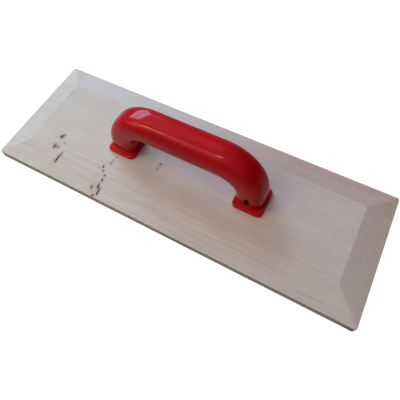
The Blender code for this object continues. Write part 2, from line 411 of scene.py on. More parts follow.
def side_loop(bm, rim, out, down, share):
    """A loop of points round the board's side.

    A share of None follows the rim down. Any other share is how high the loop runs between the arrises.
    """
    loop = []
    for vert in rim:
        x, y, z = vert.co
        wear = WEAR * (noise.noise(Vector((x * WEAR_WAVES, y * WEAR_WAVES, WEAR_SLICE))) - 0.5)
        reach = ARRIS_RADIUS * out
        place = vert.co + outward(x, y) * (reach + min(wear, 0.0) * out)
        if share is None:
            place.z = z - ARRIS_RADIUS * down
        else:
            low = ARRIS_RADIUS * down
            high = z - ARRIS_RADIUS
            place.z = low if share == 0.0 else ARRIS_RADIUS + (high - ARRIS_RADIUS) * share
        loop.append(bm.verts.new(place))
    return loop


# ---------------------------------------------------------------- handle


def section(centre, turn, half, squareness):
    """A ring of points around a centre in the XZ plane. Turn tilts it up from the horizontal."""
    across = Vector((math.cos(turn), 0.0, math.sin(turn)))
    ring = []
    for k in range(SECTION_POINTS):
        angle = 2 * math.pi * (k + 0.5) / SECTION_POINTS
        c, s = math.cos(angle), math.sin(angle)
        u = half[0] * math.copysign(abs(c) ** (2 / squareness), c)
        v = half[1] * math.copysign(abs(s) ** (2 / squareness), s)
        ring.append(centre + across * u + Vector((0.0, v, 0.0)))
    return ring


def leg_half(height):
    t = smooth_step((height - FLANGE_THICKNESS) / LEG_TAPER_HEIGHT)
    return mix(LEG_FOOT_HALF, LEG_TOP_HALF, t)


def leg_x(height):
    return FOOT_X - (height - FLANGE_THICKNESS) * math.tan(LEG_LEAN)


def foot_rings():
    rim = FLANGE_THICKNESS - FLANGE_ROUNDING
    quarter = math.pi / 2
    rings = [section(Vector((FOOT_X, 0.0, 0.0)), 0.0, FLANGE_HALF, FLANGE_SQUARENESS)]
    for step in range(ROUNDING_STEPS + 1):
        angle = quarter * step / ROUNDING_STEPS
        height = rim + FLANGE_ROUNDING * math.sin(angle)
        inset = FLANGE_ROUNDING * (1 - math.cos(angle))
        half = (FLANGE_HALF[0] - inset, FLANGE_HALF[1] - inset)
        rings.append(section(Vector((FOOT_X, 0.0, height)), 0.0, half, FLANGE_SQUARENESS))
    for step in range(ROUNDING_STEPS + 1):
        angle = quarter * step / ROUNDING_STEPS
        height = FLANGE_THICKNESS + FOOT_FILLET * (1 - math.cos(angle))
        out = FOOT_FILLET * (1 - math.sin(angle))
        leg = leg_half(height)
        half = (leg[0] + out, leg[1] + out)
        rings.append(section(Vector((leg_x(height), 0.0, height)), 0.0, half, LEG_FOOT_SQUARENESS))
    return rings


def leg_and_grip_rings():
    bend_z = GRIP_HEIGHT - BEND_RADIUS
    leg_top_z = bend_z + BEND_RADIUS * math.sin(LEG_LEAN)
    bend_x = leg_x(leg_top_z) - BEND_RADIUS * math.cos(LEG_LEAN)
    leg_start_z = FLANGE_THICKNESS + FOOT_FILLET
    rings = []
    for step in range(1, LEG_STEPS):
        t = step / LEG_STEPS
        z = leg_start_z + (leg_top_z - leg_start_z) * t
        eased = smooth_step(t)
        square = LEG_FOOT_SQUARENESS + (GRIP_SQUARENESS - LEG_FOOT_SQUARENESS) * eased
        rings.append(section(Vector((leg_x(z), 0.0, z)), LEG_LEAN * eased, leg_half(z), square))
    for step in range(BEND_STEPS + 1):
        t = step / BEND_STEPS
        turn = LEG_LEAN + (math.pi / 2 - LEG_LEAN) * t
        x = bend_x + BEND_RADIUS * math.cos(turn)
        z = bend_z + BEND_RADIUS * math.sin(turn)
        half = mix(LEG_TOP_HALF, GRIP_HALF, smooth_step(t))
        rings.append(section(Vector((x, 0.0, z)), turn, half, GRIP_SQUARENESS))
    for step in range(1, GRIP_STEPS + 1):
        x = bend_x * (1 - step / GRIP_STEPS)
        centre = Vector((x, 0.0, GRIP_HEIGHT))
        rings.append(section(centre, math.pi / 2, GRIP_HALF, GRIP_SQUARENESS))
    return rings


def build_handle():
    bm = bmesh.new()
    rows = loft(bm, foot_rings() + leg_and_grip_rings())
    bm.faces.new(list(reversed(rows[0])))
    half = bm.verts[:] + bm.edges[:] + bm.faces[:]
    bmesh.ops.mirror(bm, geom=half, merge_dist=MIRROR_REACH, axis="X")
    bmesh.ops.remove_doubles(bm, verts=bm.verts, dist=WELD_REACH)
    bmesh.ops.recalc_face_normals(bm, faces=bm.faces)
    bmesh.ops.translate(bm, vec=(0.0, 0.0, HANDLE_BASE), verts=bm.verts)
    handle = add_object("handle_moulding", mesh_from(bm, "handle_moulding"))
    cutters = []
    for half_turn in (0.0, math.pi):
        cutters.append(pocket_cutter(half_turn))
        cutters.append(core_cutter(half_turn))
    cut_away(handle, cutters)
    smooth_shade(handle, HANDLE_SHARP)
    return handle


def core_cutter(half_turn):
    """A drafted block with rounded corners that rises into a foot from below."""
    bm = bmesh.new()
    bmesh.ops.create_cube(bm, size=1.0)
    depth = CORE_DEPTH + MM
    bmesh.ops.scale(bm, vec=(CORE_MOUTH[0], CORE_MOUTH[1], depth), verts=bm.verts)
    crown = [vert for vert in bm.verts if vert.co.z > 0]
    bmesh.ops.scale(bm, vec=(CORE_DRAFT, CORE_DRAFT, 1.0), verts=crown)
    edges = [edge for edge in bm.edges if max(vert.co.z for vert in edge.verts) > 0]
    bmesh.ops.bevel(bm, geom=edges, offset=CORE_ROUNDING, segments=4, profile=0.5, affect="EDGES")
    middle = (CORE_CENTRE[0], CORE_CENTRE[1], depth / 2 - MM + HANDLE_BASE)
    bmesh.ops.translate(bm, vec=middle, verts=bm.verts)
    cutter = add_object("core", mesh_from(bm, "core"))
    cutter.rotation_euler.z = half_turn
    return cutter


# ---------------------------------------------------------------- screws


def screw_seat(half_turn):
    """Placement of a screw: origin in the middle of its head's top, +Z out along its axis."""
    down = Vector((0.0, math.sin(SCREW_TILT), -math.cos(SCREW_TILT)))
    base = Vector((0.0, 0.0, HANDLE_BASE))
    place = Matrix.Translation(base + Vector(SCREW_MOUTH) + down * HEAD_DEPTH)
    return Matrix.Rotation(half_turn, 4, "Z") @ place @ Matrix.Rotation(SCREW_TILT, 4, "X")


def turned_point(radius, turn, height):
    angle = 2 * math.pi * turn
    return Vector((radius * math.cos(angle), radius * math.sin(angle), height))


def turned_mesh(name, profile):
    """A closed turned solid about Z, from (radius, height) pairs that start and end on the axis."""
    bm = bmesh.new()
    turns = [k / TURNED_POINTS for k in range(TURNED_POINTS)]
    rings = []
    for radius, height in profile[1:-1]:
        rings.append([turned_point(radius, turn, height) for turn in turns])
    rows = loft(bm, rings)
    for row, (_, height) in ((rows[0], profile[0]), (rows[-1], profile[-1])):
        tip = bm.verts.new((0.0, 0.0, height))
        for k in range(TURNED_POINTS):
            bm.faces.new((row[k], row[(k + 1) % TURNED_POINTS], tip))
    bmesh.ops.recalc_face_normals(bm, faces=bm.faces)
    return mesh_from(bm, name)


def pocket_cutter(half_turn):
    shank = SCREW_CREST_RADIUS + FIT_GAP
    seat_top = -SCREW_HEAD_RIM - FIT_GAP
    seat_foot = -SCREW_HEAD_HEIGHT - FIT_GAP
    profile = [
        (0.0, POCKET_REACH),
        (POCKET_RADIUS, POCKET_REACH),
        (POCKET_RADIUS, seat_top),
        (shank, seat_foot),
        (shank, -SCREW_LENGTH),
        (0.0, -SCREW_LENGTH),
    ]
    cutter = add_object("pocket", turned_mesh("pocket", profile))
    cutter.matrix_world = screw_seat(half_turn)
    return cutter


def pilot_cutter(half_turn):
    shank = SCREW_CREST_RADIUS + FIT_GAP
    end = -SCREW_LENGTH - FIT_GAP
    profile = [
        (0.0, 0.0),
        (shank, 0.0),
        (shank, end + SCREW_TIP_LENGTH),
        (PILOT_END_RADIUS, end),
        (0.0, end),
    ]
    cutter = add_object("pilot", turned_mesh("pilot", profile))
    cutter.matrix_world = screw_seat(half_turn)
    return cutter


def thread_radius(turn, height):
    """The screw's radius at a turn (in whole turns) and a height below the head."""
    depth_left = SCREW_LENGTH + height
    taper = min(depth_left / SCREW_TIP_LENGTH, 1.0)
    plain_end = -SCREW_HEAD_HEIGHT - SCREW_PLAIN_LENGTH
    fade = smooth_step((plain_end - height) / THREAD_PITCH)
    phase = (height / THREAD_PITCH - turn) % 1.0
    crest = max(0.0, 1.0 - abs(phase - 0.5) / CREST_SHARE)
    crest_height = (SCREW_CREST_RADIUS - SCREW_ROOT_RADIUS) * crest * min(1.0, taper + CREST_AT_TIP)
    threaded = SCREW_ROOT_RADIUS * taper + crest_height
    return SCREW_NECK_RADIUS + (threaded - SCREW_NECK_RADIUS) * fade


def build_screw(name, half_turn):
    heights = [-SCREW_HEAD_HEIGHT]
    while heights[-1] > -SCREW_LENGTH + THREAD_LAST_ROW:
        heights.append(heights[-1] - THREAD_PITCH / THREAD_ROWS_PER_TURN)
    turns = [k / TURNED_POINTS for k in range(TURNED_POINTS)]
    rings = []
    for radius, height in SCREW_HEAD:
        rings.append([turned_point(radius, turn, height) for turn in turns])
    for height in heights:
        rings.append([turned_point(thread_radius(turn, height), turn, height) for turn in turns])
    bm = bmesh.new()
    rows = loft(bm, rings)
    bm.faces.new(rows[0])
    tip = bm.verts.new((0.0, 0.0, -SCREW_LENGTH))
    for k in range(TURNED_POINTS):
        bm.faces.new((rows[-1][k], rows[-1][(k + 1) % TURNED_POINTS], tip))
    bmesh.ops.recalc_face_normals(bm, faces=bm.faces)
    screw = add_object(name, mesh_from(bm, name))
    cut_away(screw, [recess_cutter()])
    screw.data.transform(screw_seat(half_turn))
    smooth_shade(screw, SCREW_SHARP)
    return screw


def cross_ring(height, size):
    span = size * RECESS_SPAN / 2
    width = size * RECESS_WIDTH / 2
    ring = []
    for quarter in range(4):
        turn = Matrix.Rotation(quarter * math.pi / 2, 3, "Z")
        for corner in ((span, -width), (span, width), (width, width)):
            ring.append(turn @ Vector((*corner, height)))
    return ring


def recess_cutter():
    """The tapered tip of a cross-head driver."""
    bm = bmesh.new()
    lower, upper = RECESS_SCALES
    rows = loft(bm, [cross_ring(-RECESS_DEPTH, lower), cross_ring(RECESS_DEPTH, upper)])
    bm.faces.new(list(reversed(rows[0])))
    bm.faces.new(rows[-1])
    return add_object("recess", mesh_from(bm, "recess"))


# ---------------------------------------------------------------- material helpers


# Sockets of a Mix node that mixes colours
MIX_FACTOR = 0
MIX_COLOR_A = 6
MIX_COLOR_B = 7
MIX_COLOR_RESULT = 2


class Nodes:
    """A short way to write a material's node tree."""

    def __init__(self, name):
        self.material = bpy.data.materials.new(name)
        self.material.use_nodes = True
        self.tree = self.material.node_tree
        self.shader = self.tree.nodes["Principled BSDF"]

    def put(self, value, socket):
        if isinstance(value, bpy.types.NodeSocket):
            self.tree.links.new(value, socket)
        else:
            socket.default_value = value

    def math(self, operation, a, b=0.0, c=0.0):
        node = self.tree.nodes.new("ShaderNodeMath")
        node.operation = operation
        for value, socket in zip((a, b, c), node.inputs):
            self.put(value, socket)
        return node.outputs[0]

    def vector(self, operation, a, b=(0.0, 0.0, 0.0)):
        node = self.tree.nodes.new("ShaderNodeVectorMath")
        node.operation = operation
        self.put(a, node.inputs[0])
        self.put(b, node.inputs[1])
        return node.outputs["Value" if operation == "LENGTH" else "Vector"]

    def position(self):
        return self.tree.nodes.new("ShaderNodeTexCoord").outputs["Object"]

    def split(self, vector):
        node = self.tree.nodes.new("ShaderNodeSeparateXYZ")
        self.put(vector, node.inputs[0])
        return node.outputs

    def join(self, x, y, z):
        node = self.tree.nodes.new("ShaderNodeCombineXYZ")
        for value, socket in zip((x, y, z), node.inputs):
            self.put(value, socket)
        return node.outputs[0]

    def noise(self, vector, scale, detail=2.0, roughness=0.5, distortion=0.0):
        node = self.tree.nodes.new("ShaderNodeTexNoise")
        self.put(vector, node.inputs["Vector"])
        node.inputs["Scale"].default_value = scale
        node.inputs["Detail"].default_value = detail
        node.inputs["Roughness"].default_value = roughness
        node.inputs["Distortion"].default_value = distortion
        return node.outputs["Fac"]

    def stretched(self, place, waves, detail, roughness, distortion=0.0):
        """Noise with its own number of waves per metre along X, Y and Z."""
        scaled = self.vector("MULTIPLY", place, waves)
        return self.noise(scaled, 1.0, detail, roughness, distortion)

    def ramp(self, value, low, high, start=0.0, end=1.0):
        """The value's place between low and high, smoothed, as a number from start to end."""
        node = self.tree.nodes.new("ShaderNodeMapRange")
        node.interpolation_type = "SMOOTHSTEP"
        self.put(value, node.inputs["Value"])
        node.inputs["From Min"].default_value = low
        node.inputs["From Max"].default_value = high
        node.inputs["To Min"].default_value = start
        node.inputs["To Max"].default_value = end
        return node.outputs[0]

    def blend(self, share, a, b):
        """The colour a with a share of the colour b in it."""
        node = self.tree.nodes.new("ShaderNodeMix")
        node.data_type = "RGBA"
        self.put(share, node.inputs[MIX_FACTOR])
        self.put(a, node.inputs[MIX_COLOR_A])
        self.put(b, node.inputs[MIX_COLOR_B])
        return node.outputs[MIX_COLOR_RESULT]

    def bump(self, height, distance, strength, normal=None):
        node = self.tree.nodes.new("ShaderNodeBump")
        node.inputs["Strength"].default_value = strength
        node.inputs["Distance"].default_value = distance
        self.put(height, node.inputs["Height"])
        if normal:
            self.put(normal, node.inputs["Normal"])
        return node.outputs[0]


def color(red, green, blue):
    return (red, green, blue, 1.0)


# ---------------------------------------------------------------- timber

PITH_Y = -15 * MM  # middle of the growth rings, far below the board
PITH_Z = -150 * MM
RING_WIDTH = 3.6 * MM
RING_DRIFT = 14 * MM  # how far the rings stray in long waves
RING_RIPPLE = 2.2 * MM  # and in short ones
LOG_TAPER = 0.035
FAN_RIGHT = 9.0  # how fast the grain lines spread on the end bevels, per metre
FAN_LEFT = 5.0
HALO_SPREAD = 2.1  # how much wider than its knot a halo is
HALO_STRENGTH = 0.3
MARK_CORE = 0.5  # a mark is at its full strength out to this share of its outline
MARK_FADE = 1.2  # and gone at this one
FRAY = 0.9
FRAY_SCALE = 900.0

PALE_WOOD = color(0.535, 0.485, 0.445)
WARM_WOOD = color(0.505, 0.448, 0.402)
# Cooler tone for the left end: partly the wood's own tone, partly painted light from the cool window on
# that side
COOL_LEFT_WOOD_AND_WINDOW_LIGHT = color(0.465, 0.515, 0.435)
MOTTLED_WOOD = color(0.45, 0.405, 0.355)
# Brown of the back and right bevels at the right end: partly wood tone, partly painted shade on bevels
# turned from the light
BROWN_BEVEL_AND_SHADE = color(0.44, 0.30, 0.25)
# Pale bluish tint of the back bevel at the left: partly wood tone, partly painted light from the window
# behind
COOL_BEVEL_AND_WINDOW_LIGHT = color(0.58, 0.64, 0.63)
GREY_BEVEL = color(0.45, 0.47, 0.44)
LATE_WOOD = color(0.43, 0.34, 0.27)
STREAK = color(0.42, 0.33, 0.27)
THREAD = color(0.40, 0.34, 0.29)
FIBRE = color(0.76, 0.73, 0.67)
PORE = color(0.30, 0.23, 0.18)
# Darker grey of the sides: partly the sawn wood's own grey, partly painted shade on faces turned from
# the light
SIDE_GREY_AND_SHADE = color(0.29, 0.28, 0.27)
# Darker towards the bottom of the front right corner
CORNER_DARKENING = color(0.09, 0.07, 0.06)
# Brown of the stains and of the painted shadow by the left foot
STAIN_AND_SHADOW = color(0.34, 0.23, 0.16)
HALO = color(0.42, 0.29, 0.21)
RED_KNOT = color(0.20, 0.085, 0.065)
KNOT = color(0.085, 0.058, 0.040)
# Near-black of the cracks: partly their own dark, partly painted shade in their gaps
CRACK_AND_SHADE = color(0.050, 0.032, 0.024)


def marks_mask(nodes, x, y, marks, edge_noise):
    """1 inside the marks, falling to 0 at their frayed outlines."""
    total = None
    for centre_x, centre_y, half_length, half_width, turn, strength in marks:
        angle = math.radians(turn)
        dx = nodes.math("SUBTRACT", x, centre_x * MM)
        dy = nodes.math("SUBTRACT", y, centre_y * MM)
        cos_l = math.cos(angle) / (half_length * MM)
        sin_l = math.sin(angle) / (half_length * MM)
        cos_w = math.cos(angle) / (half_width * MM)
        sin_w = math.sin(angle) / (half_width * MM)
        along = nodes.math("MULTIPLY_ADD", dx, cos_l, nodes.math("MULTIPLY", dy, sin_l))
        aside = nodes.math("MULTIPLY_ADD", dx, -sin_w, nodes.math("MULTIPLY", dy, cos_w))
        distance = nodes.vector("LENGTH", nodes.join(along, aside, 0.0))
        distance = nodes.math("ADD", distance, edge_noise)
        spot = nodes.ramp(distance, MARK_CORE, MARK_FADE, strength, 0.0)
        total = nodes.math("MAXIMUM", total, spot) if total else spot
    return total


def halos_of(marks):
    halos = []
    for x, y, half_length, half_width, turn, strength in marks:
        wide = (half_length * HALO_SPREAD, half_width * HALO_SPREAD)
        halos.append((x, y, *wide, turn, strength * HALO_STRENGTH))
    return halos


def fanned_y(nodes, x, y):
    """Y of the grain: on the end bevels the cut runs down through the fibres, so the lines fan out."""
    past_right = nodes.math("SUBTRACT", x, HALF_LENGTH - BEVEL_RIGHT)
    past_right = nodes.math("MAXIMUM", past_right, 0.0)
    past_left = nodes.math("SUBTRACT", BEVEL_LEFT - HALF_LENGTH, x)
    past_left = nodes.math("MAXIMUM", past_left, 0.0)
    spread = nodes.math("MULTIPLY_ADD", past_left, FAN_LEFT, 1.0)
    spread = nodes.math("MULTIPLY_ADD", past_right, FAN_RIGHT, spread)
    from_pith = nodes.math("DIVIDE", nodes.math("SUBTRACT", y, PITH_Y), spread)
    return nodes.math("ADD", from_pith, PITH_Y)


def growth_rings(nodes, grain):
    """1 in the late wood of each ring. The rings lie round a slowly wandering pith along X."""
    x, y, z = nodes.split(grain)
    drift = nodes.stretched(grain, (5.0, 16.0, 16.0), 3.0, 0.5)
    ripple = nodes.stretched(grain, (12.0, 60.0, 60.0), 2.0, 0.5)
    ring_y = nodes.math("SUBTRACT", y, PITH_Y)
    ring_z = nodes.math("MULTIPLY_ADD", x, LOG_TAPER, nodes.math("SUBTRACT", z, PITH_Z))
    radius = nodes.vector("LENGTH", nodes.join(ring_y, ring_z, 0.0))
    for stray, reach in ((drift, RING_DRIFT), (ripple, RING_RIPPLE)):
        radius = nodes.math("MULTIPLY_ADD", nodes.math("SUBTRACT", stray, 0.5), reach, radius)
    phase = nodes.math("FRACT", nodes.math("DIVIDE", radius, RING_WIDTH))
    growing = nodes.ramp(phase, 0.25, 0.88)
    stopping = nodes.ramp(phase, 0.92, 1.0, 1.0, 0.0)
    return nodes.math("MULTIPLY", growing, stopping)


def weathered_wood(nodes, position):
    """The timber's broad tones: clouded, cooler towards the left end, and tinted on the bevels; the
    cool left end is partly painted window light, and the bevel tints are partly painted light and
    shade.
    """
    x, y, _ = nodes.split(position)
    clouds = nodes.stretched(position, (7.0, 22.0, 22.0), 2.0, 0.5)
    mottle = nodes.stretched(position, (42.0, 80.0, 80.0), 3.0, 0.6)
    base = nodes.blend(nodes.ramp(clouds, 0.35, 0.7), PALE_WOOD, WARM_WOOD)
    # Cooler towards the left end: partly wood tone, partly painted window light
    base = nodes.blend(nodes.ramp(x, -0.17, 0.06, 0.6, 0.0), base, COOL_LEFT_WOOD_AND_WINDOW_LIGHT)
    base = nodes.blend(nodes.ramp(mottle, 0.42, 0.66, 0.0, 0.30), base, MOTTLED_WOOD)

    right_edge = HALF_LENGTH - BEVEL_RIGHT
    back_edge = HALF_WIDTH - BEVEL_BACK
    left_edge = BEVEL_LEFT - HALF_LENGTH
    right_bevel = nodes.ramp(x, right_edge - MM, right_edge + 2 * MM)
    back_bevel = nodes.ramp(y, back_edge - MM, back_edge + 2 * MM)
    left_bevel = nodes.ramp(x, left_edge + MM, left_edge - 2 * MM)
    # Browner back bevel towards the right and back, and right bevel towards the back: partly painted
    # shade
    back_brown_and_shade = nodes.math("MULTIPLY", back_bevel, nodes.ramp(x, 0.0, 0.11))
    back_brown_and_shade = nodes.math("MULTIPLY", back_brown_and_shade, nodes.ramp(y, 0.050, 0.066, 1.0, 1.45))
    right_brown_and_shade = nodes.math("MULTIPLY", right_bevel, nodes.ramp(y, -0.035, 0.035, 0.12, 0.72))
    brown = nodes.math("MAXIMUM", back_brown_and_shade, right_brown_and_shade)
    # Paler, bluer back bevel towards the left: partly painted window light
    cool = nodes.math("MULTIPLY", back_bevel, nodes.ramp(x, -0.16, 0.05, 1.0, 0.0))
    for mask, share, tint in (
        (brown, 0.52, BROWN_BEVEL_AND_SHADE),
        (cool, 0.4, COOL_BEVEL_AND_WINDOW_LIGHT),
        (left_bevel, 0.35, GREY_BEVEL),
    ):
        base = nodes.blend(nodes.math("MULTIPLY", mask, share), base, tint)
    return base


def grained_wood(nodes, position, grain, base, late, fibres, pores):
    """Rings, streaks, fibres and pores over the base, strongest in the brown heart at the front."""
    x, y, _ = nodes.split(position)
    heart_y = nodes.ramp(y, -0.062, -0.045)
    heart_y = nodes.math("MULTIPLY", heart_y, nodes.ramp(y, -0.035, -0.012, 1.0, 0.0))
    heart_x = nodes.ramp(x, -0.10, -0.03)
    heart_x = nodes.math("MULTIPLY", heart_x, nodes.ramp(x, 0.09, 0.15, 1.0, 0.0))
    heart = nodes.math("MULTIPLY", heart_y, heart_x)
    towards_back = nodes.ramp(y, -0.055, -0.020, 1.0, 0.6)
    towards_right = nodes.ramp(x, 0.05, 0.12, 1.0, 0.75)
    lined = nodes.math("MULTIPLY", towards_back, towards_right)

    streaks = nodes.stretched(grain, (8.0, 170.0, 170.0), 3.0, 0.55)
    threads = nodes.stretched(grain, (24.0, 430.0, 430.0), 3.0, 0.6)
    ring_share = nodes.math("MULTIPLY_ADD", heart, 0.15, 0.08)
    ring_share = nodes.math("MULTIPLY", late, ring_share)
    streak_share = nodes.math("MULTIPLY_ADD", heart, 0.20, 0.12)
    streak_share = nodes.math("MULTIPLY", streak_share, lined)
    streak_share = nodes.math("MULTIPLY", nodes.ramp(streaks, 0.38, 0.68), streak_share)
    thread_share = nodes.math("MULTIPLY", nodes.ramp(threads, 0.42, 0.66, 0.0, 0.12), lined)
    fibre_share = nodes.math("MULTIPLY", nodes.ramp(fibres, 0.40, 0.65, 0.0, 0.30), lined)
    for share, tint in (
        (ring_share, LATE_WOOD),
        (streak_share, STREAK),
        (thread_share, THREAD),
        (fibre_share, FIBRE),
        (nodes.math("MULTIPLY", pores, 0.25), PORE),
    ):
        base = nodes.blend(share, base, tint)
    return base


def grey_and_shaded_sides(nodes, position, base, side):
    """The sides and ends are greyer and darker than the planed faces: partly the sawn wood's grey,
    partly painted shade. The front right corner darkens towards its bottom.
    """
    x, y, z = nodes.split(position)
    # Side faces greyed and darkened in patches: partly wood colour, partly painted shade
    side_patches = nodes.stretched(position, (60.0, 220.0, 420.0), 3.0, 0.6)
    share = nodes.math("MULTIPLY", side, nodes.ramp(side_patches, 0.3, 0.7, 0.30, 0.70))
    base = nodes.blend(share, base, SIDE_GREY_AND_SHADE)
    # The front right corner darkens towards its bottom
    corner_x = nodes.math("SUBTRACT", x, HALF_LENGTH)
    corner_y = nodes.math("ADD", y, HALF_WIDTH)
    from_corner = nodes.vector("LENGTH", nodes.join(corner_x, corner_y, 0.0))
    near = nodes.ramp(from_corner, 4 * MM, 11 * MM, 0.7, 0.0)
    low = nodes.ramp(z, 8 * MM, 4 * MM)
    return nodes.blend(nodes.math("MULTIPLY", near, low), base, CORNER_DARKENING)


def marked_wood(nodes, position, base):
    """Stains, a painted shadow by the left foot, knots with their halos, and torn cracks on the upper
    face; the cracks' near-black is partly painted shade.
    """
    x, y, z = nodes.split(position)
    fray = nodes.noise(position, FRAY_SCALE, 2.0, 0.6)
    edge_noise = nodes.math("MULTIPLY", nodes.math("SUBTRACT", fray, 0.5), FRAY)
    upper = nodes.ramp(z, 7.5 * MM, 9.0 * MM)
    for marks, tint in (
        # Stains, and the painted shadow by the left foot
        (STAINS_AND_FOOT_SHADOW, STAIN_AND_SHADOW),
        (halos_of(KNOTS + RED_KNOTS + CRACKS), HALO),
        (RED_KNOTS, RED_KNOT),
        (KNOTS, KNOT),
        # Cracks: their own dark with painted shade in the gaps
        (CRACKS, CRACK_AND_SHADE),
    ):
        share = nodes.math("MULTIPLY", marks_mask(nodes, x, y, marks, edge_noise), upper)
        base = nodes.blend(share, base, tint)
    return base


def timber_material():
    nodes = Nodes("timber")
    position = nodes.position()
    x, y, z = nodes.split(position)
    grain = nodes.join(x, fanned_y(nodes, x, y), z)
    late = growth_rings(nodes, grain)
    fibres = nodes.stretched(grain, (14.0, 900.0, 900.0), 3.0, 0.6)
    pores = nodes.ramp(nodes.stretched(grain, (130.0, 2600.0, 2600.0), 1.0, 0.5), 0.62, 0.74)
    facing = nodes.split(nodes.tree.nodes.new("ShaderNodeNewGeometry").outputs["True Normal"])
    side = nodes.ramp(nodes.math("ABSOLUTE", facing[2]), 0.75, 0.35)

    base = weathered_wood(nodes, position)
    base = grained_wood(nodes, position, grain, base, late, fibres, pores)
    base = grey_and_shaded_sides(nodes, position, base, side)
    base = marked_wood(nodes, position, base)
    nodes.put(base, nodes.shader.inputs["Base Color"])

    rough = nodes.ramp(fibres, 0.3, 0.7, 0.62, 0.74)
    rough = nodes.math("MULTIPLY_ADD", late, -0.06, rough)
    nodes.put(rough, nodes.shader.inputs["Roughness"])
    nodes.shader.inputs["Specular IOR Level"].default_value = 0.35

    relief = nodes.math("MULTIPLY_ADD", fibres, 0.5, nodes.math("MULTIPLY", late, 0.4))
    relief = nodes.math("MULTIPLY_ADD", pores, -0.5, relief)
    saw = nodes.stretched(position, (1500.0, 1500.0, 160.0), 2.0, 0.5)
    normal = nodes.bump(relief, 0.06 * MM, 0.55)
    normal = nodes.bump(nodes.math("MULTIPLY", saw, side), 0.15 * MM, 0.6, normal)
    nodes.put(normal, nodes.shader.inputs["Normal"])
    return nodes.material


# ---------------------------------------------------------------- plastic and steel


RED = color(0.445, 0.003, 0.006)
DEEP_RED = color(0.38, 0.002, 0.005)
RED_SPECK = color(0.50, 0.008, 0.010)
BROWNED = color(0.34, 0.09, 0.055)
WORN_BROWN = color(0.42, 0.20, 0.14)


def plastic_material():
    nodes = Nodes("red_plastic")
    position = nodes.position()
    flow = nodes.stretched(position, (14.0, 30.0, 30.0), 3.0, 0.5, 0.6)
    speckle = nodes.noise(position, 1400.0, 2.0, 0.5)
    base = nodes.blend(nodes.ramp(flow, 0.35, 0.7), RED, DEEP_RED)
    base = nodes.blend(nodes.ramp(speckle, 0.60, 0.75, 0.0, 0.25), base, RED_SPECK)
    nodes.put(base, nodes.shader.inputs["Base Color"])
    handling = nodes.noise(position, 45.0, 4.0, 0.6)
    scuffs = nodes.stretched(position, (60.0, 700.0, 700.0), 3.0, 0.6)
    polish = nodes.ramp(handling, 0.35, 0.7, 0.11, 0.15)
    rough = nodes.math("ADD", polish, nodes.ramp(scuffs, 0.6, 0.8, 0.0, 0.08))
    nodes.put(rough, nodes.shader.inputs["Roughness"])
    nodes.shader.inputs["Specular IOR Level"].default_value = 0.19
    nodes.shader.inputs["Subsurface Weight"].default_value = 0.25
    nodes.shader.inputs["Subsurface Scale"].default_value = 5 * MM
    nodes.shader.inputs["Subsurface Radius"].default_value = (1.0, 0.1, 0.08)
    peel = nodes.noise(position, 200.0, 2.0, 0.5)
    normal = nodes.bump(peel, 0.03 * MM, 0.2)
    normal = nodes.bump(speckle, 0.01 * MM, 0.3, normal)
    nodes.put(normal, nodes.shader.inputs["Normal"])
    return nodes.material


def steel_material():
    nodes = Nodes("browned_steel")
    patch = nodes.noise(nodes.position(), 900.0, 4.0, 0.6)
    base = nodes.blend(nodes.ramp(patch, 0.56, 0.72), BROWNED, WORN_BROWN)
    nodes.put(base, nodes.shader.inputs["Base Color"])
    nodes.shader.inputs["Metallic"].default_value = 1.0
    nodes.put(nodes.ramp(patch, 0.3, 0.7, 0.55, 0.36), nodes.shader.inputs["Roughness"])
    nodes.put(nodes.bump(patch, 0.02 * MM, 0.5), nodes.shader.inputs["Normal"])
    return nodes.material


# ---------------------------------------------------------------- stage

PAPER_WHITE = 1.05
FLOOR_GREY = color(0.30, 0.29, 0.28)
FLOOR_SIZE = 12.0
FLOOR_DROP = 0.2 * MM
BOARD_AIM = (0.0, 0.0, 0.03)
# The room's light in lobes: azimuth and elevation in degrees, how narrow it is, and its colour
ROOM_GLOW = [
    (0, 90, 4.0, (0.53, 0.52, 0.55)),
    (180, 25, 8.0, (0.30, 0.30, 0.24)),
    (240, 25, 8.0, (0.26, 0.27, 0.23)),
    (300, 25, 8.0, (0.28, 0.27, 0.24)),
    (105, 10, 8.0, (0.34, 0.28, 0.40)),
    (0, -90, 2.0, (0.45, 0.45, 0.45)),
]
# A window behind on the left, in panes: from and to what height, and its glow
WINDOW_AZIMUTH = 144.5
WINDOW_DISTANCE = 1.134
WINDOW_WIDTH = 0.76
WINDOW_PANES = [
    (0.41, 0.60, (4.1, 5.5, 6.9)),
    (0.63, 0.85, (3.5, 4.5, 6.6)),
    (0.88, 1.12, (6.3, 8.4, 13.0)),
]
# Soft panels: azimuth, elevation, glow
PANEL_DISTANCE = 1.25
PANEL_SIZE = 0.7
PANELS = [
    (210, 35, (2.0, 2.2, 1.95)),
    (180, 58, (0.45, 0.37, 0.22)),
    (240, 58, (0.9, 0.78, 0.72)),
    (137, 50, (0.55, 0.52, 0.78)),
]
# A long lamp overhead: its ends, its width, and how brightly each stretch of it glows
LAMP_START = Vector((-0.90, -0.66, 1.2))
LAMP_END = Vector((0.0, -0.08, 1.2))
LAMP_WIDTH = 0.05
LAMP_GLOW = (31.0, 21.0, 18.5)
LAMP_STRETCHES = [(0.0, 0.32, 1.3), (0.32, 0.5, 0.8), (0.5, 0.76, 0.15), (0.76, 1.0, 1.2)]

CAMERA_PLACE = (0.118459, -0.183479, 0.377121)
CAMERA_TURN = (30.5589, 2.6754, 28.7856)
CAMERA_SENSOR = 36.0
CAMERA_LENS = 36.7065
CAMERA_SHIFT = (0.03448, -0.06591)
CAMERA_NEAR = 10 * MM


